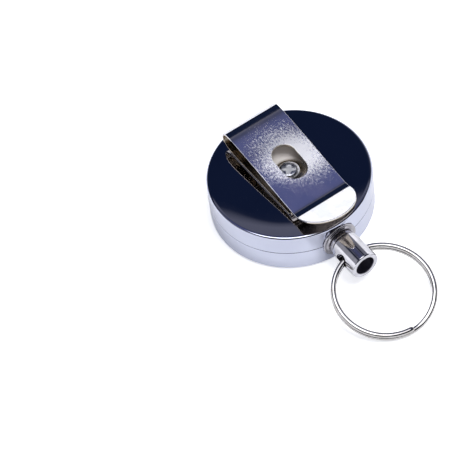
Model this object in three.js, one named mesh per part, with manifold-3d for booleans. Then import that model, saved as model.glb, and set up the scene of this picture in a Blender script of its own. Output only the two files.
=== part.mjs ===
// A retractable badge reel: a round chromed case with a sprung cord spool inside, a folded spring-steel
// belt clip screwed to its back, and a swivelling barrel with a split ring on the end of the cord.
//
// Millimetres, +Z up. The origin is the centre of the flat front face, +Z runs through the case to the
// belt clip, and the cord leaves the side wall towards -Y. The clip's fold is on the +Y side.

import * as THREE from 'three';
import { mergeVertices } from 'three/addons/utils/BufferGeometryUtils.js';
import Module from 'manifold-3d';

const wasm = await Module();
wasm.setup();

// ---- driving dimensions ----

// Case
const CASE_R = 20;
const CASE_H = 11.7;
const SKIN_T = 0.8;
const FRONT_EDGE_R = 1.0;
const BACK_EDGE_R = 0.6;
const SEAM_Z = 6.2;
const SEAM_GAP = 0.1;
const HOUSING_R = 19.1;
const HOUSING_T = 1.3;
const FLOOR_T = 0.8;
const FIT_GAP = 0.1;
const RUNNING_GAP = 0.05;

// Cord exit, at the middle of the side wall
const EXIT_Z = 6;
const BUSHING_FLANGE_R = 4.6;
const BUSHING_NECK_R = 3;
const BUSHING_BORE_R = 1;
const BUSHING_FACE_Y = -20.5;
const BUSHING_END_Y = -17;
const BUSHING_FLARE_R = 2.3;
const FLAT_SEAT_Y = -19.45;
const RETAINER_R = 4;
const RETAINER_T = 0.6;

// Post, spool and spring
const POST_R = 2.2;
const POST_BORE_R = 1.35;
const POST_TOP_Z = 10.75;
const POST_START_Z = SKIN_T + FIT_GAP + FLOOR_T;
const POST_FLANGE_R = 3.6;
const POST_FLANGE_T = 0.4;
const SPOOL_FLANGE_R = 16.6;
const SPOOL_FLANGE_T = 0.7;
const SPOOL_BORE_R = 2.3;
const DRUM_R = 12.9;
const DRUM_T = 0.9;
const SPOOL_Z = 2.5;
const DRUM_TOP_Z = 8.2;
const FLANGE_Z = DRUM_TOP_Z + RUNNING_GAP;
const WASHER_R = 4.4;
const SPRING_T = 0.25;
const SPRING_TURNS = 5;
const SPRING_IN_R = 3;
const SPRING_OUT_R = 11.4;
const SPRING_END_GAP = 0.3;
const SPRING_Z = SPOOL_Z + SPOOL_FLANGE_T + SPRING_END_GAP;
const SPRING_H = DRUM_TOP_Z - SPRING_Z - SPRING_END_GAP;

// Cord
const CORD_R = 0.55;
const WINDING_R = 15;
const CORD_SIDES = 8;
const CORD_START_Y = -19.2;
const KNOT_R = 0.8;
const KNOT_FROM_AXIS = 14.2;

// End fitting on the cord, on the axis of the exit
const CAP_R = 3.4;
const CAP_START_Y = -20.6;
const CAP_END_Y = -21.65;
const SPIGOT_R = 2.95;
const SLEEVE_R = 3.65;
const SLEEVE_BORE_R = 2.4;
const SLEEVE_START_Y = -21.95;
const SLEEVE_END_Y = -30.2;
const CROSS_HOLE_Y = -25.6;
const CROSS_HOLE_R = 1.9;
const CRIMP_R = 1.75;
const CRIMP_START_Y = -22.75;
const CRIMP_END_Y = -24.35;
const CAP_BORE_R = 0.95;

// Split ring: two turns of flat wire, its far edge resting on the plane of the front face
const RING_MEAN_R = 11.9;
const WIRE_WIDTH = 1.3;
const WIRE_T = 1.04;
const TURN_GAP = 0.08;
const RING_OUT_R = RING_MEAN_R + WIRE_WIDTH / 2;
const RING_HALF_H = WIRE_T + TURN_GAP / 2;
const RING_REACH = RING_MEAN_R + RING_OUT_R;
const RING_TILT = Math.asin((EXIT_Z - RING_HALF_H) / RING_REACH);
const RING_X = 0.4;

// Belt clip: one folded strip, its base leaf flat on the back of the case
const CLIP_HALF_W = 7.6;
const CLIP_X = 0.2;
const CLIP_T = 0.55;
const CLIP_REST_Z = CASE_H + RUNNING_GAP;
const FLAT_TURN = 1.5;
const TONGUE_START_Y = -14.4;
const TONGUE_END_Y = -22;
const ACCESS_HALF_W = 3.1;
const ACCESS_HALF_L = 5.2;
const ACCESS_X = 0.45;
const SCREW_HOLE_R = 1.6;
const SCREW_HEAD_R = 2.65;
const SCREW_HEAD_H = 1.1;
const SCREW_SHANK_R = 1.25;
const SCREW_TIP_Z = 5;

// Facets round the large and the small turned pieces
const LARGE_ROUND = 64;
const SMALL_ROUND = 32;

// ---- solids ----

// A closed three.js geometry as a solid with its faces pointing out.
function solid(geometry) {
  const bare = geometry.index ? geometry.toNonIndexed() : geometry.clone();
  bare.deleteAttribute('normal');
  bare.deleteAttribute('uv');
  const merged = mergeVertices(bare, 1e-4);
  const index = merged.index.array;
  const corners = [];
  for (let i = 0; i < index.length; i += 3) {
    const [a, b, c] = [index[i], index[i + 1], index[i + 2]];
    if (a !== b && b !== c && c !== a) corners.push(a, b, c);
  }
  const vertProperties = new Float32Array(merged.attributes.position.array);
  const build = (list) => new wasm.Manifold(
    new wasm.Mesh({ numProp: 3, vertProperties, triVerts: new Uint32Array(list) }),
  );
  const body = build(corners);
  return body.volume() > 0 ? body : build(corners.reverse());
}

// A solid as a three.js geometry, ready for a Mesh.
function surface(body) {
  const mesh = body.getMesh();
  const geometry = new THREE.BufferGeometry();
  geometry.setAttribute('position', new THREE.BufferAttribute(mesh.vertProperties, 3));
  geometry.setIndex(new THREE.BufferAttribute(mesh.triVerts, 1));
  geometry.computeVertexNormals();
  return geometry;
}

const vectors = (points) => points.map(([x, y]) => new THREE.Vector2(x, y));

// A profile of (radius, height) points turned round Z. A ring's profile closes on itself.
function turnedZ(points, facets = LARGE_ROUND) {
  return solid(new THREE.LatheGeometry(vectors(points), facets).rotateX(Math.PI / 2));
}

// A profile of (radius, y) points turned round the cord's axis.
function turnedY(points, facets = SMALL_ROUND) {
  return solid(new THREE.LatheGeometry(vectors(points), facets).translate(0, 0, EXIT_Z));
}

function box(x0, x1, y0, y1, z0, z1) {
  const shape = new THREE.BoxGeometry(x1 - x0, y1 - y0, z1 - z0);
  return solid(shape.translate((x0 + x1) / 2, (y0 + y1) / 2, (z0 + z1) / 2));
}

function rodY(radius, y0, y1) {
  const rod = new THREE.CylinderGeometry(radius, radius, y1 - y0, SMALL_ROUND);
  return solid(rod.translate(0, (y0 + y1) / 2, EXIT_Z));
}

function rodZ(radius, z0, z1, facets = SMALL_ROUND) {
  const rod = new THREE.CylinderGeometry(radius, radius, z1 - z0, facets);
  return solid(rod.rotateX(Math.PI / 2).translate(0, 0, (z0 + z1) / 2));
}

// Points of an arc of the given radius, from one angle to another, in degrees.
function arc(cx, cy, radius, from, to, steps = 3) {
  const points = [];
  for (let i = 0; i <= steps; i += 1) {
    const angle = THREE.MathUtils.degToRad(from + ((to - from) * i) / steps);
    points.push([cx + radius * Math.cos(angle), cy + radius * Math.sin(angle)]);
  }
  return points;
}

const closed = (points) => [...points, points[0]];

// ---- case ----

// The opening for the bushing's neck, and the flat that its flange sits on.
function cutForBushing(body) {
  const neckHole = rodY(BUSHING_NECK_R + FIT_GAP, -CASE_R - 1, -HOUSING_R + HOUSING_T * 2);
  const flangeSeat = rodY(BUSHING_FLANGE_R + 0.15, -CASE_R - 1, FLAT_SEAT_Y);
  return body.subtract(neckHole).subtract(flangeSeat);
}

function frontShell() {
  const wallR = CASE_R - SKIN_T;
  const cup = turnedZ([
    [0, 0],
    ...arc(CASE_R - FRONT_EDGE_R, FRONT_EDGE_R, FRONT_EDGE_R, -90, 0),
    [CASE_R, SEAM_Z - SEAM_GAP / 2],
    [wallR, SEAM_Z - SEAM_GAP / 2],
    [wallR, SKIN_T],
    [0, SKIN_T],
  ]);
  return cutForBushing(cup);
}

function backShell() {
  const wallR = CASE_R - SKIN_T;
  const cup = turnedZ(closed([
    [SCREW_HOLE_R, CASE_H],
    [SCREW_HOLE_R, CASE_H - SKIN_T],
    [wallR, CASE_H - SKIN_T],
    [wallR, SEAM_Z + SEAM_GAP / 2],
    [CASE_R, SEAM_Z + SEAM_GAP / 2],
    ...arc(CASE_R - BACK_EDGE_R, CASE_H - BACK_EDGE_R, BACK_EDGE_R, 0, 90),
  ]));
  return cutForBushing(cup);
}

// A plastic cup between the two metal skins. It carries the post and the bushing.
function innerHousing() {
  const floorZ = SKIN_T + FIT_GAP;
  const wallR = HOUSING_R - HOUSING_T;
  const cup = turnedZ([
    [0, floorZ],
    [HOUSING_R - FRONT_EDGE_R / 2, floorZ],
    [HOUSING_R, floorZ + FRONT_EDGE_R / 2],
    [HOUSING_R, CASE_H - SKIN_T - FIT_GAP],
    [wallR, CASE_H - SKIN_T - FIT_GAP],
    [wallR, floorZ + FLOOR_T],
    [0, floorZ + FLOOR_T],
  ]);
  const retainerSeat = rodY(RETAINER_R + 0.2, -wallR + FIT_GAP / 2, -wallR + 3);
  return cutForBushing(cup).subtract(retainerSeat);
}

function exitBushing() {
  const lip = 0.3;
  return turnedY(closed([
    [BUSHING_BORE_R, BUSHING_FACE_Y + lip],
    [BUSHING_BORE_R + lip, BUSHING_FACE_Y],
    ...arc(BUSHING_FLANGE_R - lip, BUSHING_FACE_Y + lip, lip, -90, 0, 2),
    [BUSHING_FLANGE_R, FLAT_SEAT_Y - FIT_GAP],
    [BUSHING_NECK_R, FLAT_SEAT_Y - FIT_GAP],
    [BUSHING_NECK_R, BUSHING_END_Y],
    [BUSHING_FLARE_R, BUSHING_END_Y],
    [BUSHING_BORE_R + 0.5, BUSHING_END_Y - 0.5],
    [BUSHING_BORE_R, BUSHING_END_Y - 1.4],
  ]));
}

function bushingRetainer() {
  const innerR = BUSHING_NECK_R + FIT_GAP / 2;
  const startY = -HOUSING_R + HOUSING_T + FIT_GAP;
  return turnedY(closed([
    [innerR, startY],
    [RETAINER_R, startY],
    [RETAINER_R, startY + RETAINER_T],
    [innerR, startY + RETAINER_T],
  ]));
}

// ---- post, spool and spring ----

// The fixed post: threaded for the clip's screw, with a slot for the mainspring's inner end.
function centrePost() {
  const post = turnedZ([
    [0, POST_START_Z],
    [POST_FLANGE_R, POST_START_Z],
    [POST_FLANGE_R, POST_START_Z + POST_FLANGE_T],
    [POST_R, POST_START_Z + POST_FLANGE_T],
    [POST_R, POST_TOP_Z],
    [POST_BORE_R, POST_TOP_Z],
    [POST_BORE_R, SCREW_TIP_Z - 0.6],
    [0, SCREW_TIP_Z - 0.9],
  ], SMALL_ROUND);
  const halfSlot = SPRING_T;
  const [z0, z1] = [SPRING_Z - 0.2, DRUM_TOP_Z - 0.2];
  const slot = box(POST_BORE_R + 0.2, POST_R + 1, -halfSlot, halfSlot, z0, z1);
  return post.subtract(slot);
}

function spoolWasher() {
  const z0 = POST_START_Z + POST_FLANGE_T + RUNNING_GAP;
  return turnedZ(closed([
    [SPOOL_BORE_R, z0],
    [WASHER_R, z0],
    [WASHER_R, SPOOL_Z - RUNNING_GAP],
    [SPOOL_BORE_R, SPOOL_Z - RUNNING_GAP],
  ]), SMALL_ROUND);
}

// Drum and lower flange in one moulding. The drum is a cup that holds the mainspring.
function spoolDrum() {
  const floorZ = SPOOL_Z + SPOOL_FLANGE_T;
  return turnedZ(closed([
    [SPOOL_BORE_R, SPOOL_Z],
    [SPOOL_FLANGE_R, SPOOL_Z],
    [SPOOL_FLANGE_R, floorZ],
    [DRUM_R, floorZ],
    [DRUM_R, DRUM_TOP_Z],
    [DRUM_R - DRUM_T, DRUM_TOP_Z],
    [DRUM_R - DRUM_T, floorZ],
    [SPOOL_BORE_R, floorZ],
  ]));
}

function spoolFlange() {
  const plate = turnedZ(closed([
    [SPOOL_BORE_R, FLANGE_Z],
    [SPOOL_FLANGE_R, FLANGE_Z],
    [SPOOL_FLANGE_R, FLANGE_Z + SPOOL_FLANGE_T],
    [SPOOL_BORE_R, FLANGE_Z + SPOOL_FLANGE_T],
  ]));
  const cordHole = rodZ(CORD_R + 0.25, FLANGE_Z - 1, FLANGE_Z + 2, 16);
  return plate.subtract(cordHole.translate([0, KNOT_FROM_AXIS, 0]));
}

// The knot that stops the cord's inner end from pulling back through the upper flange.
function cordAnchor() {
  const underKnotZ = FLANGE_Z + SPOOL_FLANGE_T + 0.1;
  const knotZ = underKnotZ + KNOT_R * 0.7;
  const knotStart = -38;
  const knot = turnedZ([
    [0, FLANGE_Z + RUNNING_GAP],
    [CORD_R, FLANGE_Z + RUNNING_GAP],
    [CORD_R, underKnotZ],
    ...arc(0, knotZ, KNOT_R, knotStart, 90, 7),
  ], 12);
  return knot.translate([0, KNOT_FROM_AXIS, 0]);
}

// A flat spiral strip, from the slot in the post out to the drum.
function mainspring() {
  const steps = SPRING_TURNS * 20;
  const outer = [];
  const inner = [];
  for (let i = 0; i <= steps; i += 1) {
    const angle = (i / steps) * SPRING_TURNS * 2 * Math.PI;
    const radius = SPRING_IN_R + ((SPRING_OUT_R - SPRING_IN_R) * i) / steps;
    const [c, s] = [Math.cos(angle), Math.sin(angle)];
    outer.push(new THREE.Vector2((radius + SPRING_T / 2) * c, (radius + SPRING_T / 2) * s));
    inner.push(new THREE.Vector2((radius - SPRING_T / 2) * c, (radius - SPRING_T / 2) * s));
  }
  const strip = new THREE.Shape([...outer, ...inner.reverse()]);
  const geometry = new THREE.ExtrudeGeometry(strip, { depth: SPRING_H, bevelEnabled: false });
  return solid(geometry.translate(0, 0, SPRING_Z));
}

function cordWinding() {
  const z0 = SPOOL_Z + SPOOL_FLANGE_T + 0.15;
  return turnedZ(closed([
    [DRUM_R + 0.1, z0],
    [WINDING_R, z0],
    [WINDING_R, DRUM_TOP_Z - 0.1],
    [DRUM_R + 0.1, DRUM_TOP_Z - 0.1],
  ]), 48);
}

// ---- cord outside the winding ----

// A round cord along a smooth curve through the given points.
function cordAlong(points, steps) {
  const section = new THREE.Shape();
  section.absarc(0, 0, CORD_R, 0, 2 * Math.PI);
  const extrudePath = new THREE.CatmullRomCurve3(points.map((point) => new THREE.Vector3(...point)));
  const options = { steps, extrudePath, bevelEnabled: false, curveSegments: CORD_SIDES };
  return solid(new THREE.ExtrudeGeometry(section, options));
}

// From the outer turn of the winding, round the flared mouth of the bushing and into its bore.
function cordInnerRun() {
  return cordAlong([
    [1.9, -WINDING_R - CORD_R - 0.05, EXIT_Z],
    [0.95, BUSHING_END_Y + 0.8, EXIT_Z],
    [0.25, BUSHING_END_Y, EXIT_Z],
    [0, BUSHING_END_Y - 1, EXIT_Z],
    [0, CORD_START_Y + 0.3, EXIT_Z],
  ], 12);
}

function cordLead() {
  return rodY(CORD_R, CRIMP_START_Y + 0.3, CORD_START_Y);
}

// ---- end fitting ----

function cordCrimp() {
  const edge = 0.25;
  return turnedY([
    [0, CRIMP_START_Y],
    ...arc(CRIMP_R - edge, CRIMP_START_Y - edge, edge, 90, 0, 2),
    ...arc(CRIMP_R - edge, CRIMP_END_Y + edge, edge, 0, -90, 2),
    [0, CRIMP_END_Y],
  ]);
}

// The collar that closes the barrel round the cord. It bears on the bushing when the cord is in.
function sleeveCap() {
  const edge = 0.2;
  const spigotEndY = CRIMP_START_Y + 0.2;
  return turnedY(closed([
    [CAP_BORE_R, CAP_START_Y],
    ...arc(CAP_R - edge, CAP_START_Y - edge, edge, 90, 0, 2),
    [CAP_R, CAP_END_Y + 0.1],
    [CAP_R - 0.1, CAP_END_Y],
    [SPIGOT_R, CAP_END_Y],
    [SPIGOT_R, spigotEndY],
    [CAP_BORE_R, spigotEndY],
  ]));
}

// The barrel: an open end, and a cross hole for the split ring.
function sleeve() {
  const edge = 0.3;
  const counterboreR = SPIGOT_R + FIT_GAP;
  const barrel = turnedY(closed([
    [SLEEVE_BORE_R, CRIMP_START_Y],
    [counterboreR, CRIMP_START_Y],
    [counterboreR, SLEEVE_START_Y],
    [SLEEVE_R - edge, SLEEVE_START_Y],
    [SLEEVE_R, SLEEVE_START_Y - edge],
    [SLEEVE_R, SLEEVE_END_Y + edge],
    [SLEEVE_R - edge, SLEEVE_END_Y],
    [SLEEVE_BORE_R + edge, SLEEVE_END_Y],
    [SLEEVE_BORE_R, SLEEVE_END_Y + edge],
  ]));
  const hole = new THREE.CylinderGeometry(CROSS_HOLE_R, CROSS_HOLE_R, SLEEVE_R * 3, SMALL_ROUND);
  return barrel.subtract(solid(hole.rotateZ(Math.PI / 2).translate(0, CROSS_HOLE_Y, EXIT_Z)));
}

// The wire's path: nearly a full turn in the lower layer, a short climb, and nearly a full turn above.
class SplitRingPath extends THREE.Curve {
  getPoint(t, target = new THREE.Vector3()) {
    const [climbFrom, climbTo] = [335, 385];
    const angle = 32 + (688 - 32) * t;
    const climb = THREE.MathUtils.smoothstep(angle, climbFrom, climbTo);
    const height = (climb - 0.5) * (WIRE_T + TURN_GAP);
    const turn = THREE.MathUtils.degToRad(angle - 60);
    return target.set(RING_MEAN_R * Math.cos(turn), RING_MEAN_R * Math.sin(turn), height);
  }
}

function splitRing() {
  const [w, t] = [WIRE_WIDTH / 2, WIRE_T / 2];
  const section = new THREE.Shape(vectors([[-t, -w], [t, -w], [t, w], [-t, w]]));
  const options = { steps: 84, extrudePath: new SplitRingPath(), bevelEnabled: false };
  return solid(new THREE.ExtrudeGeometry(section, options));
}

// ---- belt clip ----

// The strip's middle line as (y, z), from the base leaf's free end to the fold ...
const BASE_LINE = [
  [-11.45, 13.3], [-11.15, 12.65], [-10.5, 12.12], [-9.4, 12.03], [0, 12.03],
  [11.5, 12.03], [14.2, 12.35], [15.9, 13.3], [16.65, 14.3], [16.75, 14.8],
];
// ... and from the fold, down the sprung leaf, to the tip of the tongue.
const LEAF_LINE = [
  [16.77, 15.0], [16.7, 15.5], [16.3, 16.35], [15.1, 17.05], [12.8, 17.13], [8, 16.6],
  [4, 16.15], [0, 15.55], [-4, 14.9], [-8, 14.35], [-11, 13.98], [-12.4, 13.84],
  [-13.2, 13.88], [-13.9, 14.03], [-14.6, 14.27], [-18, 15.57], [-22.2, 17.18],
];

// A strip of the clip's thickness along a line in the YZ plane, as wide as the clip. A stretch that
// turns by less than FLAT_TURN degrees is left in one flat piece.
function strip(line, steps) {
  const curve = new THREE.SplineCurve(vectors(line));
  const above = [];
  const below = [];
  let lastTangent = null;
  for (let i = 0; i <= steps; i += 1) {
    const tangent = curve.getTangentAt(i / steps);
    const turn = lastTangent ? THREE.MathUtils.radToDeg(lastTangent.angleTo(tangent)) : FLAT_TURN;
    if (turn < FLAT_TURN && i < steps) continue;
    lastTangent = tangent;
    const point = curve.getPointAt(i / steps);
    const normal = new THREE.Vector2(-tangent.y, tangent.x).multiplyScalar(CLIP_T / 2);
    above.push(point.clone().add(normal));
    below.push(point.clone().sub(normal));
  }
  const outline = new THREE.Shape([...above, ...below.reverse()]);
  const width = 2 * CLIP_HALF_W;
  const geometry = new THREE.ExtrudeGeometry(outline, { depth: width, bevelEnabled: false });
  // The shape's x becomes Y, its y becomes Z, and the extrusion runs along X.
  geometry.rotateX(Math.PI / 2).rotateZ(Math.PI / 2);
  return solid(geometry.translate(CLIP_X - CLIP_HALF_W, 0, 0));
}

function clipBase() {
  return strip(BASE_LINE, 30).subtract(rodZ(SCREW_HOLE_R, CASE_H - 1, CASE_H + 2));
}

// The outline of the sprung leaf seen from above: straight sides and a half-round tongue.
function leafOutline() {
  const shape = new THREE.Shape();
  shape.moveTo(CLIP_HALF_W + 1, 20);
  shape.lineTo(-CLIP_HALF_W - 1, 20);
  shape.lineTo(-CLIP_HALF_W - 1, TONGUE_START_Y);
  shape.lineTo(-CLIP_HALF_W, TONGUE_START_Y);
  const tongueLength = TONGUE_START_Y - TONGUE_END_Y;
  shape.absellipse(0, TONGUE_START_Y, CLIP_HALF_W, tongueLength, Math.PI, 2 * Math.PI);
  shape.lineTo(CLIP_HALF_W + 1, TONGUE_START_Y);
  const block = new THREE.ExtrudeGeometry(shape, { depth: 12, bevelEnabled: false, curveSegments: 20 });
  return block.translate(CLIP_X, 0, CASE_H);
}

// The oblong hole that a screwdriver goes through.
function accessHole() {
  const [w, l] = [ACCESS_HALF_W, ACCESS_HALF_L - ACCESS_HALF_W];
  const shape = new THREE.Shape();
  shape.absarc(0, l, w, 0, Math.PI);
  shape.absarc(0, -l, w, Math.PI, 2 * Math.PI);
  const block = new THREE.ExtrudeGeometry(shape, { depth: 8, bevelEnabled: false, curveSegments: 12 });
  return block.translate(ACCESS_X, 0, CASE_H + 1.5);
}

function clipLeaf() {
  return strip(LEAF_LINE, 40).intersect(solid(leafOutline())).subtract(solid(accessHole()));
}

// A pan-head screw with a cross recess.
function clipScrew() {
  const headZ = CLIP_REST_Z + CLIP_T + RUNNING_GAP;
  const topZ = headZ + SCREW_HEAD_H;
  const body = turnedZ([
    [0, SCREW_TIP_Z],
    [SCREW_SHANK_R - 0.3, SCREW_TIP_Z],
    [SCREW_SHANK_R, SCREW_TIP_Z + 0.4],
    [SCREW_SHANK_R, headZ],
    [SCREW_HEAD_R, headZ],
    [SCREW_HEAD_R, headZ + 0.35],
    [SCREW_HEAD_R - 0.25, headZ + 0.75],
    [SCREW_HEAD_R - 0.9, topZ - 0.06],
    [0, topZ],
  ], SMALL_ROUND);
  const [armLength, armHalfWidth, depth] = [1.55, 0.42, 0.75];
  const arm = box(-armLength, armLength, -armHalfWidth, armHalfWidth, topZ - depth, topZ + 1);
  return body.subtract(arm).subtract(arm.rotate([0, 0, 90]));
}

// ---- assembly ----

const finishes = {
  chrome: new THREE.MeshStandardMaterial({ color: 0xe2e4ea, roughness: 0.05, metalness: 1 }),
  springSteel: new THREE.MeshStandardMaterial({ color: 0x9a9cb4, roughness: 0.28, metalness: 1 }),
  nickel: new THREE.MeshStandardMaterial({ color: 0xd6d3cc, roughness: 0.15, metalness: 1 }),
  zinc: new THREE.MeshStandardMaterial({ color: 0xb9c2cf, roughness: 0.3, metalness: 1 }),
  brass: new THREE.MeshStandardMaterial({ color: 0xb08d4a, roughness: 0.35, metalness: 1 }),
  blackPlastic: new THREE.MeshStandardMaterial({ color: 0x17181b, roughness: 0.5, metalness: 0 }),
  whitePlastic: new THREE.MeshStandardMaterial({ color: 0xdedbd2, roughness: 0.45, metalness: 0 }),
  cord: new THREE.MeshStandardMaterial({ color: 0x1b1b1e, roughness: 0.9, metalness: 0 }),
};

const reel = new THREE.Group();

function place(parent, name, body, material) {
  const mesh = new THREE.Mesh(surface(body), material);
  mesh.name = name;
  parent.add(mesh);
  return mesh;
}

place(reel, 'front_shell', frontShell(), finishes.chrome);
place(reel, 'back_shell', backShell(), finishes.chrome);
place(reel, 'inner_housing', innerHousing(), finishes.blackPlastic);
place(reel, 'exit_bushing', exitBushing(), finishes.chrome);
place(reel, 'bushing_retainer', bushingRetainer(), finishes.zinc);
place(reel, 'centre_post', centrePost(), finishes.zinc);
place(reel, 'spool_washer', spoolWasher(), finishes.whitePlastic);
place(reel, 'spool_drum', spoolDrum(), finishes.whitePlastic);
place(reel, 'spool_flange', spoolFlange(), finishes.whitePlastic);
place(reel, 'mainspring', mainspring(), finishes.springSteel);
place(reel, 'cord_winding', cordWinding(), finishes.cord);
place(reel, 'cord_anchor', cordAnchor(), finishes.cord);
place(reel, 'cord_inner_run', cordInnerRun(), finishes.cord);
place(reel, 'cord_lead', cordLead(), finishes.cord);
place(reel, 'cord_crimp', cordCrimp(), finishes.brass);
place(reel, 'sleeve_cap', sleeveCap(), finishes.chrome);
place(reel, 'sleeve', sleeve(), finishes.chrome);
place(reel, 'clip_base', clipBase(), finishes.springSteel);
place(reel, 'clip_leaf', clipLeaf(), finishes.springSteel);
place(reel, 'clip_screw', clipScrew(), finishes.zinc);

// The ring hangs from the cross hole, a little to one side, and slopes down to the front face's plane.
const ringHanger = new THREE.Group();
ringHanger.position.set(RING_X, CROSS_HOLE_Y, EXIT_Z);
ringHanger.rotation.x = RING_TILT;
reel.add(ringHanger);
const ring = place(ringHanger, 'split_ring', splitRing(), finishes.nickel);
ring.position.y = -RING_MEAN_R;

export default reel;
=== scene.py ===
"""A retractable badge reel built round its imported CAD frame.

The chromed case, the folded belt clip, the swivelling barrel, the split ring and the cord are detailed
pieces that stand for their CAD nodes. The works inside the case are the CAD nodes themselves, with their own
finishes.
Lengths in this file are millimetres until a mesh is made, which is in metres.
"""

import math

import bpy
import bmesh
import numpy as np
from mathutils import Matrix, Vector
from mathutils.geometry import delaunay_2d_cdt


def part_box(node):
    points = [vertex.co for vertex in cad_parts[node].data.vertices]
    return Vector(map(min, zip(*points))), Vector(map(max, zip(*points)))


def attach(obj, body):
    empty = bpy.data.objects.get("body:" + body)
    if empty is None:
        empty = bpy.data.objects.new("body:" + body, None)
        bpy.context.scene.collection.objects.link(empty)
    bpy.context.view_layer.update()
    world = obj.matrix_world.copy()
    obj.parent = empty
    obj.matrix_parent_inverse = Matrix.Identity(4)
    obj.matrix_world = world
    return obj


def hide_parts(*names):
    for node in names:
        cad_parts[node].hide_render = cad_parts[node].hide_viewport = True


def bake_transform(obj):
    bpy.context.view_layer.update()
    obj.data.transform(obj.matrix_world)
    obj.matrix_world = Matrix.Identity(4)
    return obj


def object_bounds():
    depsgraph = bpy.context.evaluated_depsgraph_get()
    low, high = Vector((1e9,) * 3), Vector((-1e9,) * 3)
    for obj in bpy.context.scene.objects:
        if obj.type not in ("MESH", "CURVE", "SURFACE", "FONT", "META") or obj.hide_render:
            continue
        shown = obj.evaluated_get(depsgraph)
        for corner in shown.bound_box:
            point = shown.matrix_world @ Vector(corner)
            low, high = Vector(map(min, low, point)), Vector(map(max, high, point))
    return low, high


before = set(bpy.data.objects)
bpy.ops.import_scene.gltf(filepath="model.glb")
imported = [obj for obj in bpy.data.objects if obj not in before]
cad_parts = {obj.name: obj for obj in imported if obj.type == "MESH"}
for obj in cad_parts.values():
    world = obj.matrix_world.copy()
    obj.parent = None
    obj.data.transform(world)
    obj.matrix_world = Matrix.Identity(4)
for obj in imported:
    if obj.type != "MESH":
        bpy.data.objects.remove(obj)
cad_low, cad_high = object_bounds()

MM = 0.001


def corners_mm(node):
    low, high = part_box(node)
    return low / MM, high / MM


# ---- places taken from the frame ----

FRONT_HIGH = corners_mm("front_shell")[1]
BACK_LOW, BACK_HIGH = corners_mm("back_shell")
BUSHING_LOW, BUSHING_HIGH = corners_mm("exit_bushing")
CAP_LOW, CAP_HIGH = corners_mm("sleeve_cap")
SLEEVE_LOW, SLEEVE_HIGH = corners_mm("sleeve")
CORD_LOW, CORD_HIGH = corners_mm("cord_lead")
CLIP_LOW, CLIP_HIGH = corners_mm("clip_base")
SCREW_LOW, SCREW_HIGH = corners_mm("clip_screw")

CASE_R = FRONT_HIGH.x
CASE_TOP = BACK_HIGH.z
AXIS_Z = (BUSHING_LOW.z + BUSHING_HIGH.z) / 2
SKIN_T = 0.8

# The wall's hole for the bushing, and the shoulders inside the end fitting.
SEAT_Y = -19.45
SEAT_END_Y = -16.5
SEAT_NECK_R = 3.1
FLANGE_BACK_Y = -19.55
BUSHING_NECK_R = 3.0
COLLAR_FLANGE_Y = -21.65
BARREL_SHOULDER_Y = -22.75
BARREL_BORE_R = 2.4
CROSS_HOLE_R = 1.9
CROSS_HOLE_Y = -25.6

# The painted shade of the bore begins just outside the bore's own wall.
BORE_EDGE_R = 2.45

# The screw's cross recess.
RECESS_TURN = math.radians(51)
RECESS_DEPTH = 0.6

# ---- mesh making ----


def about_case(u, v, height):
    return (u, v, height)


def about_cord(u, v, height):
    return (u, height, AXIS_Z + v)


def new_piece(name, points, faces):
    mesh = bpy.data.meshes.new(name)
    mesh.from_pydata([Vector(p) * MM for p in points], [], faces)
    work = bmesh.new()
    work.from_mesh(mesh)
    bmesh.ops.recalc_face_normals(work, faces=work.faces)
    work.to_mesh(mesh)
    work.free()
    piece = bpy.data.objects.new(name, mesh)
    bpy.context.scene.collection.objects.link(piece)
    return piece


def rounded(corners, steps=5):
    """The profile through (across, along, fillet) corners, with each corner rounded by its fillet."""
    profile = []
    for i, (x, y, fillet) in enumerate(corners):
        here = Vector((x, y))
        if not fillet:
            profile.append(here)
            continue
        before = (Vector(corners[i - 1][:2]) - here).normalized()
        after = (Vector(corners[(i + 1) % len(corners)][:2]) - here).normalized()
        half = before.angle(after) / 2
        centre = here + (before + after).normalized() * (fillet / math.sin(half))
        first = here + before * (fillet / math.tan(half)) - centre
        turn = (math.pi - 2 * half) * (1 if before.cross(after) < 0 else -1)
        for k in range(steps + 1):
            angle = turn * k / steps
            c, s = math.cos(angle), math.sin(angle)
            profile.append(centre + Vector((first.x * c - first.y * s, first.x * s + first.y * c)))
    return profile


def turned(name, profile, place, facets, ring=True):
    """A profile of (radius, height) turned round an axis. ring closes the profile on itself."""
    points, faces, rows = [], [], []
    for radius, height in profile:
        if radius < 1e-6:
            rows.append([len(points)] * facets)
            points.append(place(0, 0, height))
            continue
        rows.append(range(len(points), len(points) + facets))
        for k in range(facets):
            angle = 2 * math.pi * k / facets
            points.append(place(radius * math.cos(angle), radius * math.sin(angle), height))
    pairs = list(zip(rows, rows[1:]))
    if ring:
        pairs.append((rows[-1], rows[0]))
    for one, two in pairs:
        for k in range(facets):
            n = (k + 1) % facets
            face = list(dict.fromkeys([one[k], one[n], two[n], two[k]]))
            if len(face) > 2:
                faces.append(face)
    return new_piece(name, points, faces)


def cut(piece, *cutters):
    """Takes the cutters out of the piece, and removes them."""
    for cutter in cutters:
        modifier = piece.modifiers.new("cut", "BOOLEAN")
        modifier.operation = "DIFFERENCE"
        modifier.solver = "EXACT"
        modifier.object = cutter
    evaluated = piece.evaluated_get(bpy.context.evaluated_depsgraph_get())
    mesh = bpy.data.meshes.new_from_object(evaluated)
    piece.modifiers.clear()
    piece.data = mesh
    for cutter in cutters:
        bpy.data.objects.remove(cutter)
    return piece


def soften(piece, sharp_degrees=35):
    """Smooth shading that keeps flats flat and leaves true edges sharp."""
    piece.data.shade_smooth()
    piece.data.set_sharp_from_angle(angle=math.radians(sharp_degrees))
    weighted = piece.modifiers.new("weighted", "WEIGHTED_NORMAL")
    weighted.keep_sharp = True
    return piece


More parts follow.
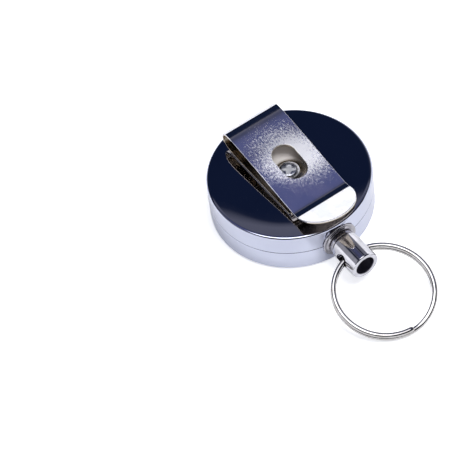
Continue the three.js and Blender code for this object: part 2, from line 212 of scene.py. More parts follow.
def rod_y(radius, start, end, facets=128):
    return turned("cutter", [(0, start), (radius, start), (radius, end), (0, end)], about_cord, facets, False)


# ---- materials ----


class Finish:
    """A Principled material and the few procedural nodes that the finishes share."""

    def __init__(self, name, colour, roughness, metallic):
        self.material = bpy.data.materials.new(name)
        self.material.use_nodes = True
        self.tree = self.material.node_tree
        self.shader = self.tree.nodes["Principled BSDF"]
        self.shader.inputs["Base Color"].default_value = (*colour, 1)
        self.shader.inputs["Roughness"].default_value = roughness
        self.shader.inputs["Metallic"].default_value = metallic
        self.place = self.tree.nodes.new("ShaderNodeTexCoord").outputs["Object"]

    def link(self, value, socket):
        if isinstance(value, bpy.types.NodeSocket):
            self.tree.links.new(value, socket)
        else:
            socket.default_value = value

    def math(self, operation, a, b=0.0, c=0.0):
        node = self.tree.nodes.new("ShaderNodeMath")
        node.operation = operation
        for value, socket in zip((a, b, c), node.inputs):
            self.link(value, socket)
        return node.outputs[0]

    def length(self, a, b):
        return self.math("SQRT", self.math("ADD", self.math("POWER", a, 2), self.math("POWER", b, 2)))

    def stretched(self, vector, scale):
        node = self.tree.nodes.new("ShaderNodeVectorMath")
        node.operation = "MULTIPLY"
        self.link(vector, node.inputs[0])
        node.inputs[1].default_value = scale
        return node.outputs[0]

    def noise(self, per_metre, detail=2.0, vector=None, distortion=0.0):
        """Noise about 0.5, at so many cells per metre along each axis."""
        node = self.tree.nodes.new("ShaderNodeTexNoise")
        scale = per_metre if isinstance(per_metre, tuple) else (per_metre,) * 3
        self.link(self.stretched(vector or self.place, scale), node.inputs["Vector"])
        node.inputs["Scale"].default_value = 1
        node.inputs["Detail"].default_value = detail
        node.inputs["Distortion"].default_value = distortion
        return node.outputs["Fac"]

    def spread(self, value, low, high, to_low, to_high):
        """value from low..high to to_low..to_high, smoothly and clamped."""
        node = self.tree.nodes.new("ShaderNodeMapRange")
        node.interpolation_type = "SMOOTHSTEP"
        self.link(value, node.inputs["Value"])
        for name, number in (("From Min", low), ("From Max", high), ("To Min", to_low), ("To Max", to_high)):
            node.inputs[name].default_value = number
        return node.outputs["Result"]

    def mixed(self, share, one, two):
        node = self.tree.nodes.new("ShaderNodeMix")
        node.data_type = "RGBA"
        self.link(share, node.inputs["Factor"])
        colours = [s for s in node.inputs if s.type == "RGBA"]
        for value, socket in zip((one, two), colours):
            self.link((*value, 1) if isinstance(value, tuple) else value, socket)
        return [s for s in node.outputs if s.type == "RGBA"][0]

    def bump(self, height, depth, before=None):
        """A bump of so many metres, on top of an earlier one."""
        node = self.tree.nodes.new("ShaderNodeBump")
        node.inputs["Strength"].default_value = 1
        node.inputs["Distance"].default_value = depth
        self.link(height, node.inputs["Height"])
        if before:
            self.link(before, node.inputs["Normal"])
        return node.outputs["Normal"]

    def colour(self, value):
        self.link(value, self.shader.inputs["Base Color"])

    def roughness(self, value):
        self.link(value, self.shader.inputs["Roughness"])

    def normal(self, value):
        self.link(value, self.shader.inputs["Normal"])

    def attribute(self, name):
        node = self.tree.nodes.new("ShaderNodeAttribute")
        node.attribute_name = name
        return node.outputs["Vector"]


def chrome():
    finish = Finish("chrome_plate", (0.62, 0.65, 0.78), 0.04, 1.0)
    smudge = finish.noise(90, 4)
    speck = finish.noise(2600, 3)
    finish.roughness(finish.math("ADD", finish.spread(smudge, 0.45, 0.75, 0.012, 0.03),
                                 finish.spread(speck, 0.66, 0.8, 0.0, 0.10)))
    finish.colour(finish.mixed(finish.spread(smudge, 0.4, 0.7, 0, 1), (0.64, 0.67, 0.80), (0.60, 0.63, 0.76)))
    wave = finish.bump(finish.noise(60, 1), 1.2e-6)
    finish.normal(finish.bump(speck, 1.5e-7, wave))
    return finish.material


def clip_steel(screw_along, fold, hole_along):
    """Rolled spring strip: bright and lightly scored along its length, and frosted round the punched hole,
    where its colour is also lightened towards white as a painted highlight glow.

    The inner side of the fold and the base leaf carry painted shade, darker and browner than the outer leaf,
    with a painted pool of light on the base leaf under the access hole and a painted shadow round the screw
    head.
    """
    finish = Finish("clip_spring_steel", (0.72, 0.72, 0.80), 0.1, 1.0)
    flat = finish.attribute("flat_place")
    score = finish.noise((2900, 1500, 1), 4, flat, 0.4)
    mottle = finish.noise((1300, 900, 1), 4, flat, 0.8)
    cloud = finish.noise((190, 130, 1), 3, flat, 0.4)
    split = finish.tree.nodes.new("ShaderNodeSeparateXYZ")
    finish.link(flat, split.inputs[0])

    def patch(x, s, half_width, half_length, lean):
        """Distance from (x, s), 1 on the edge of an oval that leans to one side."""
        across = finish.math("DIVIDE", finish.math("SUBTRACT", split.outputs["X"], x * MM), half_width * MM)
        along = finish.math("DIVIDE", finish.math("SUBTRACT", split.outputs["Y"], s * MM), half_length * MM)
        along = finish.math("MULTIPLY_ADD", across, lean, along)
        return finish.length(across, along)

    outer = finish.spread(split.outputs["Z"], -0.05 * MM, 0.05 * MM, 1.0, 0.0)
    leaf = finish.spread(split.outputs["Y"], (fold - 1.5) * MM, (fold + 1.5) * MM, 0.0, 1.0)
    shown = finish.math("MULTIPLY", outer, leaf)
    ragged = finish.math("ADD", patch(2.8, hole_along - 1.5, 8.0, 8.0, -0.25),
                         finish.math("MULTIPLY_ADD", mottle, 0.8, -0.4))
    ragged = finish.math("ADD", ragged, finish.math("MULTIPLY_ADD", score, 1.9, -0.95))
    # Frosted patch round the punched hole: a rougher, more scored finish, with its colour lightened towards
    # white as a painted highlight glow.
    frost_and_glow = finish.math("MULTIPLY", finish.spread(ragged, 0.25, 1.6, 1.0, 0.0), shown)
    # A painted pool of light on the base leaf, where light falls through the access hole. It is cut off by a
    # painted shadow round the screw head and is brightest towards the hole's far end. The same mask also
    # makes the base leaf rougher and less metallic there.
    light_through_hole = finish.math("MULTIPLY", finish.spread(patch(0, screw_along, 7.5, 10, 0), 0.8, 1.1, 1.0, 0.0),
                             finish.math("SUBTRACT", 1.0, leaf))
    out_of_screw_shadow = finish.spread(patch(0, screw_along, 3.5, 3.5, 0), 0.85, 1.2, 0.0, 1.0)
    light_pool_peak = finish.spread(patch(0.4, screw_along + 5, 4.5, 4.0, 0), 0.5, 1.3, 1.0, 0.35)
    light_through_hole = finish.math("MULTIPLY", light_through_hole, finish.math("MULTIPLY", out_of_screw_shadow, light_pool_peak))
    plated = finish.mixed(finish.spread(cloud, 0.35, 0.65, 0, 1), (0.78, 0.80, 0.86), (0.90, 0.88, 0.90))
    bright = finish.mixed(frost_and_glow, plated, (0.97, 0.97, 0.98))
    # Every face but the outer face of the upper leaf gets painted shade, a dark brown, which is lifted to
    # near white in the painted pool of light.
    shaded_inside = finish.mixed(light_through_hole, (0.52, 0.46, 0.38), (1.0, 0.95, 0.92))
    finish.colour(finish.mixed(shown, shaded_inside, bright))
    uneven = finish.math("ADD", mottle, finish.math("MULTIPLY", cloud, 0.5))
    smooth = finish.spread(uneven, 0.62, 1.0, 0.045, 0.10)
    hazed = finish.math("MULTIPLY_ADD", frost_and_glow, 0.28, smooth)
    inner = finish.math("MULTIPLY_ADD", finish.math("SUBTRACT", 1.0, outer), 0.10, hazed)
    finish.roughness(finish.math("MULTIPLY_ADD", light_through_hole, 0.35, inner))
    finish.link(finish.math("MULTIPLY_ADD", light_through_hole, -0.6, 1.0), finish.shader.inputs["Metallic"])
    depth = finish.math("MULTIPLY", score, finish.math("MULTIPLY_ADD", frost_and_glow, 0.7, 0.3))
    finish.normal(finish.bump(finish.math("MULTIPLY", depth, shown), 1.4e-5, finish.bump(mottle, 1.2e-6)))
    return finish.material


def nickel():
    finish = Finish("nickel_plate", (0.68, 0.67, 0.64), 0.1, 1.0)
    wear_and_highlight = finish.noise(500, 4)
    finish.roughness(finish.spread(wear_and_highlight, 0.35, 0.75, 0.04, 0.14))
    finish.colour(finish.mixed(finish.spread(wear_and_highlight, 0.4, 0.75, 0, 1), (0.62, 0.61, 0.60), (0.48, 0.46, 0.44)))
    finish.normal(finish.bump(finish.noise(1800, 3), 8e-7))
    return finish.material


def turned_plate(name, light, dark):
    """Plated turned steel: faint tool rings round the cord's axis, and painted shade, near black, in the
    bore.
    """
    finish = Finish(name, light, 0.08, 1.0)
    split = finish.tree.nodes.new("ShaderNodeSeparateXYZ")
    finish.link(finish.place, split.inputs[0])
    up = finish.math("SUBTRACT", split.outputs["Z"], AXIS_Z * MM)
    away = finish.length(split.outputs["X"], up)
    # Painted shade: the bore and its mouth are coloured near black, as shadow inside the hole.
    bore = finish.spread(away, BORE_EDGE_R * MM, (BORE_EDGE_R + 0.12) * MM, 1.0, 0.0)
    smudge = finish.noise(450, 4)
    rings = finish.noise((120, 5200, 120), 3)
    plated = finish.mixed(finish.spread(smudge, 0.4, 0.7, 0, 1), light, dark)
    finish.colour(finish.mixed(bore, plated, (0.09, 0.085, 0.12)))
    finish.roughness(finish.math("MULTIPLY_ADD", bore, 0.4, finish.spread(smudge, 0.4, 0.75, 0.04, 0.13)))
    finish.normal(finish.bump(rings, 2.5e-7))
    return finish.material


def zinc():
    """Zinc plate, with a painted highlight in the bottom of the screw's recess."""
    finish = Finish("zinc_steel", (0.62, 0.68, 0.76), 0.3, 1.0)
    split = finish.tree.nodes.new("ShaderNodeSeparateXYZ")
    finish.link(finish.place, split.inputs[0])
    floor_z = SCREW_HIGH.z - RECESS_DEPTH
    below = finish.spread(split.outputs["Z"], (floor_z + 0.1) * MM, (floor_z + 0.2) * MM, 1.0, 0.0)
    above = finish.spread(split.outputs["Z"], (floor_z - 0.1) * MM, (floor_z - 0.05) * MM, 0.0, 1.0)
    # Painted highlight: the floor of the cross recess is coloured near white and made rougher.
    wear_and_highlight = finish.math("MULTIPLY", below, above)
    grain = finish.noise(1500, 4)
    plated = finish.mixed(finish.spread(grain, 0.35, 0.7, 0, 1), (0.66, 0.66, 0.70), (0.36, 0.39, 0.44))
    finish.colour(finish.mixed(wear_and_highlight, plated, (0.97, 0.98, 1.0)))
    finish.roughness(finish.math("MULTIPLY_ADD", wear_and_highlight, 0.4, finish.spread(grain, 0.3, 0.7, 0.16, 0.3)))
    finish.normal(finish.bump(grain, 3e-6))
    return finish.material


def works_metal(name, light, dark):
    """The finish of metal parts inside the case: light drawing marks and a thin film of oil."""
    finish = Finish(name, light, 0.3, 1.0)
    grain = finish.noise((900, 900, 3200), 3)
    finish.colour(finish.mixed(finish.spread(grain, 0.35, 0.7, 0, 1), light, dark))
    finish.roughness(finish.spread(grain, 0.3, 0.7, 0.2, 0.45))
    finish.normal(finish.bump(grain, 3e-6))
    return finish.material


def moulded(name, colour, shade):
    """Moulded plastic with a fine spark-eroded grain."""
    finish = Finish(name, colour, 0.45, 0.0)
    grain = finish.noise(3000, 3)
    finish.colour(finish.mixed(finish.noise(220, 3), colour, shade))
    finish.roughness(finish.spread(grain, 0.3, 0.7, 0.38, 0.6))
    finish.normal(finish.bump(grain, 6e-6))
    return finish.material


def braid():
    """A tight nylon braid: two sets of strands crossing at a slant round the cord."""
    finish = Finish("cord_braid", (0.02, 0.02, 0.022), 0.7, 0.0)
    split = finish.tree.nodes.new("ShaderNodeSeparateXYZ")
    finish.link(finish.place, split.inputs[0])
    height = finish.math("SUBTRACT", split.outputs["Z"], AXIS_Z * MM)
    round_angle = finish.math("ARCTAN2", height, split.outputs["X"])
    lay = finish.math("MULTIPLY", split.outputs["Y"], 2 * math.pi / 0.0016)
    one = finish.math("SINE", finish.math("ADD", finish.math("MULTIPLY", round_angle, 4), lay))
    two = finish.math("SINE", finish.math("SUBTRACT", finish.math("MULTIPLY", round_angle, 4), lay))
    strands = finish.math("MAXIMUM", one, two)
    lit = finish.spread(strands, 0, 1, 0, 1)
    finish.colour(finish.mixed(lit, (0.008, 0.008, 0.01), (0.035, 0.035, 0.04)))
    finish.roughness(finish.spread(finish.noise(4000, 2), 0.3, 0.7, 0.6, 0.85))
    finish.normal(finish.bump(strands, 8e-5))
    return finish.material


def dress(piece, material):
    piece.data.materials.clear()
    piece.data.materials.append(material)


# ---- case ----

# The back is flat under the clip and falls away very slightly towards its rim.
CROWN_START, CROWN = 14.5, 0.05


def back_shell():
    inner = CASE_R - SKIN_T
    piece = turned("case_back", rounded([
        (1.6, CASE_TOP, 0.1),
        (1.6, CASE_TOP - SKIN_T, 0),
        (inner, CASE_TOP - SKIN_T, 0),
        (inner, BACK_LOW.z, 0),
        (CASE_R, BACK_LOW.z, 0.12),
        (CASE_R, CASE_TOP - CROWN, 0.6),
        *[(radius, CASE_TOP - CROWN * ((radius - CROWN_START) / (CASE_R - CROWN_START)) ** 2, 0)
          for radius in np.linspace(19, CROWN_START, 9)],
    ], 8), about_case, 256)
    return cut(piece, *bushing_seat())


def front_shell():
    inner = CASE_R - SKIN_T
    piece = turned("case_front", rounded([
        (0, 0, 0),
        (CASE_R, 0, 1.0),
        (CASE_R, FRONT_HIGH.z, 0.12),
        (inner, FRONT_HIGH.z, 0),
        (inner, SKIN_T, 0.3),
        (0, SKIN_T, 0),
    ], 8), about_case, 256, False)
    return cut(piece, *bushing_seat())


def bushing_seat():
    outside = -CASE_R - 1
    return rod_y(BUSHING_HIGH.x + 0.15, outside, SEAT_Y), rod_y(SEAT_NECK_R, outside, SEAT_END_Y)


def bushing():
    face, end = BUSHING_LOW.y, BUSHING_HIGH.y
    return turned("cord_bushing", rounded([
        (1.0, face, 0.35),
        (3.75, face, 0.1),
        (3.95, face + 0.35, 0.12),
        (BUSHING_HIGH.x, face + 0.4, 0.25),
        (BUSHING_HIGH.x, FLANGE_BACK_Y, 0.08),
        (BUSHING_NECK_R, FLANGE_BACK_Y, 0),
        (BUSHING_NECK_R, end, 0),
        (2.3, end, 0.2),
        (1.5, end - 0.5, 0.3),
        (1.0, end - 1.4, 0.3),
    ]), about_cord, 128)


# ---- end fitting ----


def collar():
    start, spigot_end, flange_end = CAP_HIGH.y, CAP_LOW.y, COLLAR_FLANGE_Y
    return turned("barrel_collar", rounded([
        (0.95, start, 0.15),
        (CAP_HIGH.x, start, 0.28),
        (CAP_HIGH.x, flange_end, 0.14),
        (2.95, flange_end, 0),
        (2.95, spigot_end, 0),
        (0.95, spigot_end, 0),
    ]), about_cord, 128)


def barrel():
    start, end, radius = SLEEVE_HIGH.y, SLEEVE_LOW.y, SLEEVE_HIGH.x
    piece = turned("barrel", rounded([
        (BARREL_BORE_R, BARREL_SHOULDER_Y, 0),
        (3.05, BARREL_SHOULDER_Y, 0),
        (3.05, start, 0),
        (radius, start, 0.22),
        (radius, end, 0.38),
        (BARREL_BORE_R, end, 0.42),
    ], 7), about_cord, 160)
    reach = radius * 2
    hole = turned("cutter", [(0, -reach), (CROSS_HOLE_R, -reach), (CROSS_HOLE_R, reach), (0, reach)],
                  lambda u, v, h: (h, CROSS_HOLE_Y + u, AXIS_Z + v), 96, False)
    return cut(piece, hole)


# ---- split ring ----

RING_R = 11.9
WIRE_W = 1.3
WIRE_T = 1.04
TURN_GAP = 0.08
PIVOT = Vector((0, CROSS_HOLE_Y, AXIS_Z))
RING_TILT = math.asin((AXIS_Z - WIRE_T - TURN_GAP / 2) / (2 * RING_R + WIRE_W / 2))


def split_ring():
    """Two turns of one flat wire with softened edges, and blunt ends lying against the next turn."""
    section = rounded([
        (-WIRE_W / 2, -WIRE_T / 2, 0.47), (WIRE_W / 2, -WIRE_T / 2, 0.47),
        (WIRE_W / 2, WIRE_T / 2, 0.47), (-WIRE_W / 2, WIRE_T / 2, 0.47),
    ], 5)
    start, end, steps = 32.0, 688.0, 420
    tilt = Matrix.Rotation(RING_TILT, 4, "X")
    points, faces = [], []
    for i in range(steps + 1):
        angle = start + (end - start) * i / steps
        climb = min(max((angle - 335) / 50, 0), 1)
        height = (climb * climb * (3 - 2 * climb) - 0.5) * (WIRE_T + TURN_GAP)
        turn = math.radians(angle - 60)
        from_end = min(i, steps - i)
        shrink = (0.72, 0.9)[from_end] if from_end < 2 else 1
        if from_end == 1:
            turn += math.radians(-0.8 if i == 1 else 0.8)
        for across, up in section:
            radius = RING_R + across * shrink
            local = Vector((radius * math.cos(turn), radius * math.sin(turn) - RING_R, height + up * shrink))
            points.append(PIVOT + tilt @ local)
    count = len(section)
    for i in range(steps):
        for k in range(count):
            n = (k + 1) % count
            faces.append([i * count + k, i * count + n, (i + 1) * count + n, (i + 1) * count + k])
    faces.append(list(range(count)))
    faces.append(list(range(steps * count, (steps + 1) * count)))
    return new_piece("ring_wire", points, faces)


# ---- belt clip ----

# The strip's middle line as (y, z), from the base leaf's lip, round the fold, to the tip of the tongue.
CLIP_LINE = [
    (-11.45, 13.3), (-11.15, 12.65), (-10.5, 12.12), (-9.4, 12.03), (0, 12.03), (11.5, 12.03), (14.2, 12.35),
    (15.9, 13.3), (16.65, 14.3), (16.77, 14.9), (16.7, 15.5), (16.3, 16.35), (15.1, 17.05), (12.8, 17.13),
    (8, 16.6), (4, 16.15), (0, 15.55), (-4, 14.9), (-8, 14.35), (-11, 13.98), (-12.4, 13.84), (-13.2, 13.88),
    (-13.9, 14.03), (-14.6, 14.27), (-18, 15.57), (-22.2, 17.18),
]
FOLD_Y = 16.77
CLIP_T = 0.55
CLIP_X = (CLIP_LOW.x + CLIP_HIGH.x) / 2
CLIP_HALF_W = (CLIP_HIGH.x - CLIP_LOW.x) / 2
TONGUE_Y = -14.4
TONGUE_TIP_Y = -22.0
ACCESS_X, ACCESS_HALF_W, ACCESS_HALF_L = 0.45, 3.1, 5.2
EDGE = 0.1


def spline(points, per_span=60):
    """A uniform Catmull-Rom curve through the points, as an array of positions."""
    known = [np.array(p, float) for p in points]
    known = [2 * known[0] - known[1], *known, 2 * known[-1] - known[-2]]
    curve = []
    for a, b, c, d in zip(known, known[1:], known[2:], known[3:]):
        for k in range(per_span):
            t = k / per_span
            curve.append(0.5 * (2 * b + (c - a) * t + (2 * a - 5 * b + 4 * c - d) * t**2
                                + (3 * b - a - 3 * c + d) * t**3))
    curve.append(known[-2])
    return np.array(curve)


class Strip:
    """Maps a place on the flat strip, (across, along, up), to where it is on the bent strip."""

    def __init__(self, line):
        self.curve = spline(line)
        steps = np.linalg.norm(np.diff(self.curve, axis=0), axis=1)
        self.along = np.concatenate([[0], np.cumsum(steps)])
        self.length = self.along[-1]
        slope = np.gradient(self.curve, self.along, axis=0)
        self.slope = slope / np.linalg.norm(slope, axis=1)[:, None]

    def at(self, s):
        point = [np.interp(s, self.along, self.curve[:, k]) for k in (0, 1)]
        slope = [np.interp(s, self.along, self.slope[:, k]) for k in (0, 1)]
        size = math.hypot(*slope)
        return point, (slope[0] / size, slope[1] / size)

    def bent(self, x, s, up):
        (y, z), (dy, dz) = self.at(s)
        return (x, y - dz * up, z + dy * up)

    def turned(self, direction, s):
        """A direction on the flat strip, as it is on the bent strip."""
        x, along, up = direction
        _, (dy, dz) = self.at(s)
        return Vector((x, along * dy - up * dz, along * dz + up * dy)).normalized()

    def where(self, y, after):
        """How far along the strip it reaches this y, past a given distance."""
        late = self.along > after
        return float(self.along[late][np.argmin(np.abs(self.curve[late, 0] - y))])

    def rows(self, turn=2.5, longest=0.9):
        """Distances along the strip, closer together where it bends."""
        angle = np.unwrap(np.arctan2(self.slope[:, 1], self.slope[:, 0]))
        found, last = [0.0], 0
        for i in range(1, len(self.along)):
            bend = abs(angle[i] - angle[last])
            if bend > math.radians(turn) or self.along[i] - self.along[last] > longest:
                found.append(float(self.along[i]))
                last = i
        return found


def offset_loop(loop, distance):
    """A closed loop moved sideways, to its left for a positive distance."""
    moved = []
    for i, here in enumerate(loop):
        before, after = here - loop[i - 1], loop[(i + 1) % len(loop)] - here
        normals = [Vector((-d.y, d.x)).normalized() for d in (before, after)]
        mean = (normals[0] + normals[1]).normalized()
        moved.append(here + mean * (distance / max(mean.dot(normals[0]), 0.5)))
    return moved


def resampled(loop, step):
    """Adds points to a loop's long sides."""
    dense = []
    for here, after in zip(loop, loop[1:] + loop[:1]):
        count = max(1, math.ceil((after - here).length / step))
        dense += [here.lerp(after, k / count) for k in range(count)]
    return dense


def inside(point, loop):
    x, y = point
    result = False
    for a, b in zip(loop, loop[1:] + loop[:1]):
        if (a.y > y) != (b.y > y) and x < (b.x - a.x) * (y - a.y) / (b.y - a.y) + a.x:
            result = not result
    return result


def oblong(x, s, half_width, half_length, steps=28):
    """The loop of an oblong hole about (x, s), clockwise."""
    straight = half_length - half_width
    loop = []
    for k in range(2 * steps):
        angle = math.pi * k / steps
        end = straight if k < steps else -straight
        loop.append(Vector((x + half_width * math.cos(angle), s + end + half_width * math.sin(angle))))
    return loop[::-1]


def belt_clip():
    strip = Strip(CLIP_LINE)
    fold = strip.where(FOLD_Y, 25)
    tongue = strip.where(TONGUE_Y, fold)
    tip = strip.where(TONGUE_TIP_Y, fold)
    hole_along = strip.where(0, fold)
    left, right = CLIP_X - CLIP_HALF_W, CLIP_X + CLIP_HALF_W
    outline = [Vector((left, 0)), Vector((right, 0)), Vector((right, tongue))]
    for k in range(1, 48):
        angle = math.pi * k / 48
        x = CLIP_X + CLIP_HALF_W * math.cos(angle)
        outline.append(Vector((x, tongue + (tip - tongue) * math.sin(angle))))
    outline.append(Vector((left, tongue)))
    corners = rounded([(v.x, v.y, 0.5 if i < 2 else 0) for i, v in enumerate(outline)], 6)
    access = oblong(ACCESS_X, hole_along, ACCESS_HALF_W, ACCESS_HALF_L)
    screw_hole = oblong(0, strip.where(0, 0), 1.6, 1.6001)
    loops = [resampled(corners, 0.5), resampled(access, 0.5), screw_hole]
    insets = [offset_loop(loop, EDGE) for loop in loops]

    flat_points, flat_edges = [], []
    for loop in insets:
        first = len(flat_points)
        flat_points += loop
        flat_edges += [(first + k, first + (k + 1) % len(loop)) for k in range(len(loop))]
    columns = [CLIP_X + CLIP_HALF_W * (k / 12 - 1) for k in range(25)]
    for s in strip.rows():
        for x in columns:
            spot = Vector((x, s))
            near = min((spot - p).length for loop in insets for p in loop)
            if near > 0.3 and inside(spot, insets[0]) and not any(inside(spot, hole) for hole in insets[1:]):
                flat_points.append(spot)
    places, _, triangles, *_ = delaunay_2d_cdt(flat_points, flat_edges, [], 0, 1e-6)
    kept = []
    for triangle in triangles:
        middle = sum((places[k] for k in triangle), Vector((0, 0))) / 3
        if inside(middle, insets[0]) and not any(inside(middle, hole) for hole in insets[1:]):
            kept.append(list(triangle))

    half = CLIP_T / 2
    count = len(places)
    flat, facing, faces = [], [], []
    for up in (half, -half):
        flat += [(p.x, p.y, up) for p in places]
        facing += [(0, 0, up)] * count
    faces += kept + [[k + count for k in triangle[::-1]] for triangle in kept]
    slant = 1 - math.sqrt(0.5)
    first = 0
    for loop, inset in zip(loops, insets):
        size = len(loop)
        rings = [list(range(first, first + size))]
        for share, up, tilt in ((slant, half - EDGE * slant, 1), (0, half - EDGE, 0),
                                (0, EDGE - half, 0), (slant, EDGE * slant - half, -1)):
            rings.append(list(range(len(flat), len(flat) + size)))
            for outer, inner in zip(loop, inset):
                flat.append((*outer.lerp(inner, share), up))
                facing.append((*(outer - inner).normalized(), tilt))
        rings.append(list(range(first + count, first + count + size)))
        for one, two in zip(rings, rings[1:]):
            faces += [[one[k], one[(k + 1) % size], two[(k + 1) % size], two[k]] for k in range(size)]
        first += size
    piece = new_piece("belt_clip", [strip.bent(*p) for p in flat], faces)
    attribute = piece.data.attributes.new("flat_place", "FLOAT_VECTOR", "POINT")
    attribute.data.foreach_set("vector", (np.array(flat, np.float32) * MM).ravel())
    piece.data.shade_smooth()
    piece.data.normals_split_custom_set_from_vertices(
        [strip.turned(direction, p[1]) for direction, p in zip(facing, flat)])
    return piece, (strip.where(0, 0), fold, hole_along)


def clip_screw():
    """A pan-head screw with a tapered cross recess."""
    bottom, top = SCREW_LOW.z, SCREW_HIGH.z
    head_z = top - 1.1
    body = turned("screw_with_cross_recess", rounded([
        (0, bottom, 0), (0.95, bottom, 0), (1.25, bottom + 0.4, 0), (1.25, head_z, 0),
        (SCREW_HIGH.x, head_z, 0.06), (SCREW_HIGH.x, head_z + 0.4, 0.3), (2.1, top - 0.1, 0.8), (0, top, 0),
    ], 6), about_case, 96, False)
    arm, width, depth = 1.8, 0.6, RECESS_DEPTH
    outline = []
    for k in range(4):
        c, s = math.cos(RECESS_TURN + k * math.pi / 2), math.sin(RECESS_TURN + k * math.pi / 2)
        for u, v in ((width * 1.15, -width * 1.15), (arm, -width * 0.72), (arm, width * 0.72)):
            outline.append((u * c - v * s, u * s + v * c))
    points = []
    for share, z in ((1.05, top + 0.3), (1.0, top - 0.15), (0.86, top - depth)):
        points += [(x * share, y * share, z) for x, y in outline]
    n = len(outline)
    faces = [list(range(n)), list(range(2 * n, 3 * n))]
    for level in (0, n):
        faces += [[level + k, level + (k + 1) % n, level + n + (k + 1) % n, level + n + k] for k in range(n)]
    return cut(body, new_piece("cutter", points, faces))


# ---- cord ----


def cord_run():
    """The cord from inside the bushing to the crimp in the barrel."""
    start, end, radius = CORD_HIGH.y, CORD_LOW.y, CORD_HIGH.x
    rings = 48
    side = [(radius, start + (end - start) * k / rings) for k in range(rings + 1)]
    profile = [(0, start)] + side + [(0, end)]
    return turned("cord_run", profile, about_cord, 32, False)


# ---- making and dressing the pieces ----

CHROME, NICKEL, ZINC = chrome(), nickel(), zinc()
PLATE = turned_plate("turned_plate", (0.70, 0.70, 0.75), (0.58, 0.58, 0.62))
# A darker copy of the turned plate, as painted shade on the bushing and the collar where they sit against the
# case wall.
SHADED_PLATE = turned_plate("turned_plate_shaded", (0.46, 0.45, 0.48), (0.32, 0.31, 0.34))

for make, node, body, slot_name, material in (
    (front_shell, "front_shell", "case", "chrome", CHROME),
    (back_shell, "back_shell", "case", "chrome", CHROME),
    (bushing, "exit_bushing", "case", "chrome", SHADED_PLATE),
    (collar, "sleeve_cap", "end_fitting", "chrome", SHADED_PLATE),
    (barrel, "sleeve", "end_fitting", "chrome", PLATE),
    (split_ring, "split_ring", "ring", "nickel", NICKEL),
    (clip_screw, "clip_screw", "case", "zinc_steel", ZINC),
):
    piece = soften(make())
    dress(piece, material)
    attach(piece, body)
    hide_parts(node)

clip, clip_marks = belt_clip()
dress(clip, clip_steel(*clip_marks))
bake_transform(clip)
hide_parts("clip_base", "clip_leaf")

cord = soften(cord_run())
dress(cord, braid())
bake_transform(cord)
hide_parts("cord_lead")

ZINC_WORKS = works_metal("zinc_works", (0.62, 0.66, 0.70), (0.46, 0.49, 0.53))
BLUED = works_metal("blued_spring", (0.30, 0.32, 0.40), (0.18, 0.18, 0.24))
BRASS = works_metal("brass", (0.66, 0.48, 0.22), (0.50, 0.35, 0.15))
BLACK = moulded("black_plastic", (0.012, 0.012, 0.014), (0.02, 0.02, 0.022))
WHITE = moulded("white_plastic", (0.72, 0.70, 0.65), (0.64, 0.62, 0.57))
WOUND = braid()
for node, material in {
    "inner_housing": BLACK, "bushing_retainer": ZINC_WORKS, "centre_post": ZINC_WORKS,
    "spool_washer": WHITE, "spool_drum": WHITE, "spool_flange": WHITE, "mainspring": BLUED,
    "cord_winding": WOUND, "cord_anchor": WOUND, "cord_inner_run": WOUND, "cord_crimp": BRASS,
}.items():
    dress(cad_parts[node], material)

# ---- stage, light and camera ----


def floor():
    side = 6000
    corners = [(-side, -side, 0), (side, -side, 0), (side, side, 0), (-side, side, 0)]
    piece = new_piece("studio_floor", corners, [[0, 1, 2, 3]])
    piece.location.z = cad_low.z - 0.02 * MM
    material = bpy.data.materials.new("studio_floor")
    material.use_nodes = True
    shader = material.node_tree.nodes["Principled BSDF"]
    shader.inputs["Base Color"].default_value = (0.9, 0.9, 0.91, 1)
    shader.inputs["Roughness"].default_value = 0.9
    shader.inputs["Emission Color"].default_value = (0.97, 0.98, 1, 1)
    ray = material.node_tree.nodes.new("ShaderNodeLightPath")
    glow = material.node_tree.nodes.new("ShaderNodeMapRange")
    glow.inputs["To Min"].default_value = 0.12
    glow.inputs["To Max"].default_value = 0.6
    material.node_tree.links.new(ray.outputs["Is Camera Ray"], glow.inputs["Value"])
    material.node_tree.links.new(glow.outputs["Result"], shader.inputs["Emission Strength"])
    dress(piece, material)


def softbox(name, place, size, watts):
    """A round area light facing the object, which polished metal doesn't mirror."""
    light = bpy.data.lights.new(name, "AREA")
    light.shape = "DISK"
    light.size = size
    light.energy = watts
    lamp = bpy.data.objects.new(name, light)
    bpy.context.scene.collection.objects.link(lamp)
    lamp.location = place
    lamp.rotation_mode = "QUATERNION"
    lamp.rotation_quaternion = Vector(place).to_track_quat("Z", "Y")
    lamp.visible_glossy = False


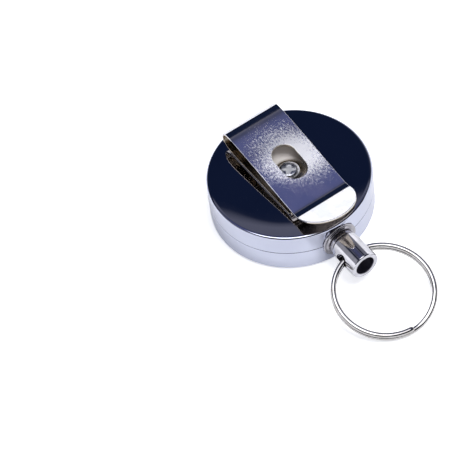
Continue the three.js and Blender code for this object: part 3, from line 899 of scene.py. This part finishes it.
def studio_world():
    """A white studio: bright low down all round, dark above, then a violet band and a bright top."""
    world = bpy.data.worlds.new("studio")
    bpy.context.scene.world = world
    world.use_nodes = True
    tree = world.node_tree
    tree.nodes.clear()

    def node(kind, **settings):
        made = tree.nodes.new(kind)
        for key, value in settings.items():
            setattr(made, key, value)
        return made

    def ramp(value, stops):
        made = node("ShaderNodeValToRGB")
        made.color_ramp.interpolation = "EASE"
        elements = made.color_ramp.elements
        while len(elements) < len(stops):
            elements.new(0.5)
        for element, (place, colour) in zip(elements, stops):
            element.position = place
            element.color = (*colour, 1)
        tree.links.new(value, made.inputs[0])
        return made.outputs["Color"]

    def window(value, a, b, c, d):
        """1 from b to c, fading to 0 at a and d."""
        rise, fall = node("ShaderNodeMapRange"), node("ShaderNodeMapRange")
        for made, low, high, start in ((rise, a, b, 0), (fall, c, d, 1)):
            made.interpolation_type = "SMOOTHSTEP"
            tree.links.new(value, made.inputs["Value"])
            made.inputs["From Min"].default_value = low
            made.inputs["From Max"].default_value = high
            made.inputs["To Min"].default_value = start
            made.inputs["To Max"].default_value = 1 - start
        both = node("ShaderNodeMath", operation="MULTIPLY")
        tree.links.new(rise.outputs[0], both.inputs[0])
        tree.links.new(fall.outputs[0], both.inputs[1])
        return both.outputs[0]

    def mix(share, one, two):
        made = node("ShaderNodeMix", data_type="RGBA")
        colours = [s for s in made.inputs if s.type == "RGBA"]
        tree.links.new(share, made.inputs["Factor"])
        tree.links.new(one, colours[0])
        tree.links.new(two, colours[1])
        return [s for s in made.outputs if s.type == "RGBA"][0]

    place = node("ShaderNodeTexCoord").outputs["Generated"]
    split = node("ShaderNodeSeparateXYZ")
    tree.links.new(place, split.inputs[0])
    height = split.outputs["Z"]
    white, navy, dark = (0.95, 0.95, 0.98), (0.0055, 0.0095, 0.026), (0.014, 0.014, 0.022)
    grey = (0.095, 0.095, 0.12)
    slate, violet, zenith = (0.050, 0.054, 0.095), (0.075, 0.083, 0.19), (2.4, 2.4, 2.45)
    behind = ramp(height, [(0.0, white), (0.24, white), (0.29, navy), (0.788, navy), (0.7965, grey),
                           (0.84, slate), (0.885, violet), (0.915, violet), (0.955, zenith), (1.0, zenith)])
    before = ramp(height, [(0.0, white), (0.24, white), (0.29, dark), (0.95, dark),
                           (0.985, zenith), (1.0, zenith)])
    around = mix(window(split.outputs["Y"], -2, -1.9, -0.1, 0.15), behind, before)
    azimuth = node("ShaderNodeMath", operation="ARCTAN2")
    tree.links.new(split.outputs["X"], azimuth.inputs[0])
    tree.links.new(split.outputs["Y"], azimuth.inputs[1])

    def panel(below, turn, rise, colour):
        """A patch of the sky between four azimuths and four heights."""
        both = node("ShaderNodeMath", operation="MULTIPLY")
        tree.links.new(window(azimuth.outputs[0], *turn), both.inputs[0])
        tree.links.new(window(height, *rise), both.inputs[1])
        plain = node("ShaderNodeRGB")
        plain.outputs[0].default_value = (*colour, 1)
        return mix(both.outputs[0], below, plain.outputs[0])

    grey_left, grey_right = (0.26, 0.26, 0.29), (0.15, 0.15, 0.18)
    lit = panel(around, (-1.9, -1.7, -0.8, -0.6), (0.30, 0.34, 0.66, 0.76), grey_left)
    lit = panel(lit, (0.62, 0.74, 1.5, 1.7), (0.42, 0.46, 0.66, 0.80), grey_right)
    lit = panel(lit, (0.66, 0.76, 1.9, 2.1), (-0.2, -0.1, 0.42, 0.48), white)
    lit = panel(lit, (-2.1, -1.9, -0.8, -0.7), (-0.2, -0.1, 0.29, 0.34), white)
    background = node("ShaderNodeBackground")
    tree.links.new(lit, background.inputs["Color"])
    background.inputs["Strength"].default_value = 1.3
    tree.links.new(background.outputs[0], node("ShaderNodeOutputWorld").inputs["Surface"])


def camera():
    azimuth, elevation, roll = math.radians(-28.2), math.radians(51.878), math.radians(-8.454)
    distance = 0.71623
    target = Vector((-0.01884, 0.00080, 0.005855))
    back = Vector((math.sin(azimuth) * math.cos(elevation), -math.cos(azimuth) * math.cos(elevation),
                   math.sin(elevation)))
    right = (-back).cross(Vector((0, 0, 1))).normalized()
    up = right.cross(-back)
    rolled_right = right * math.cos(roll) + up * math.sin(roll)
    rolled_up = up * math.cos(roll) - right * math.sin(roll)
    data = bpy.data.cameras.new("camera")
    data.lens = 240
    data.sensor_width = 36
    data.clip_start, data.clip_end = 0.01, 50
    eye = bpy.data.objects.new("camera", data)
    bpy.context.scene.collection.objects.link(eye)
    pose = Matrix((rolled_right, rolled_up, back)).transposed().to_4x4()
    pose.translation = target + back * distance
    eye.matrix_world = pose
    bpy.context.scene.camera = eye


floor()
studio_world()
softbox("floor_fill", (0.5, -0.5, 2.0), 1.2, 26)
camera()
bpy.context.scene.view_settings.view_transform = "Standard"
